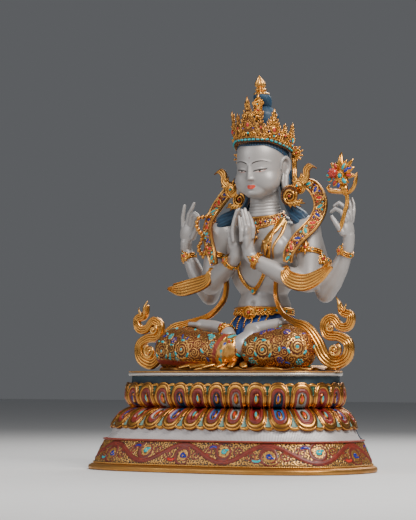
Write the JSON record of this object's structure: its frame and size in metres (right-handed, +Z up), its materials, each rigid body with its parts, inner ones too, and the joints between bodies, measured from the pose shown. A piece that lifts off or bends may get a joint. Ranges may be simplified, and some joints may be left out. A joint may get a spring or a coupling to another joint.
{
  "type": "avalokiteshvara statue",
  "caption": "Four-armed seated bodhisattva statue with crown, jewelled scarves, lotus and prayer beads, on a double lotus pedestal that rests flat.",
  "frame": {"origin": "middle of the whole part's base, on the surface it stands on", "axes": "+Z up; the figure faces -Y; +X is the figure's left"},
  "size_m": [0.3906, 0.2524, 0.5031],
  "materials": {
    "pedestal": "fire-gilt copper, polished, with red-brown recesses",
    "figure": "satin silver plating on copper",
    "crown": "fire-gilt copper, polished, with red-brown recesses",
    "left_scarf": "fire-gilt copper, polished, with red-brown recesses",
    "right_scarf": "fire-gilt copper, polished, with red-brown recesses",
    "left_scarf_tail": "fire-gilt copper, polished, with red-brown recesses",
    "right_scarf_tail": "fire-gilt copper, polished, with red-brown recesses",
    "left_ribbon": "fire-gilt copper, polished, with red-brown recesses",
    "right_ribbon": "fire-gilt copper, polished, with red-brown recesses",
    "lotus": "fire-gilt copper, polished, with red-brown recesses",
    "prayer_beads": "fire-gilt copper, polished, with red-brown recesses"
  },
  "bodies": {
    "root": {"pedestal": "pedestal", "figure": "figure", "crown": "crown", "left_scarf": "left_scarf", "right_scarf": "right_scarf", "left_scarf_tail": "left_scarf_tail", "right_scarf_tail": "right_scarf_tail", "left_ribbon": "left_ribbon", "right_ribbon": "right_ribbon", "lotus": "lotus", "prayer_beads": "prayer_beads"}
  },
  "joints": []
}
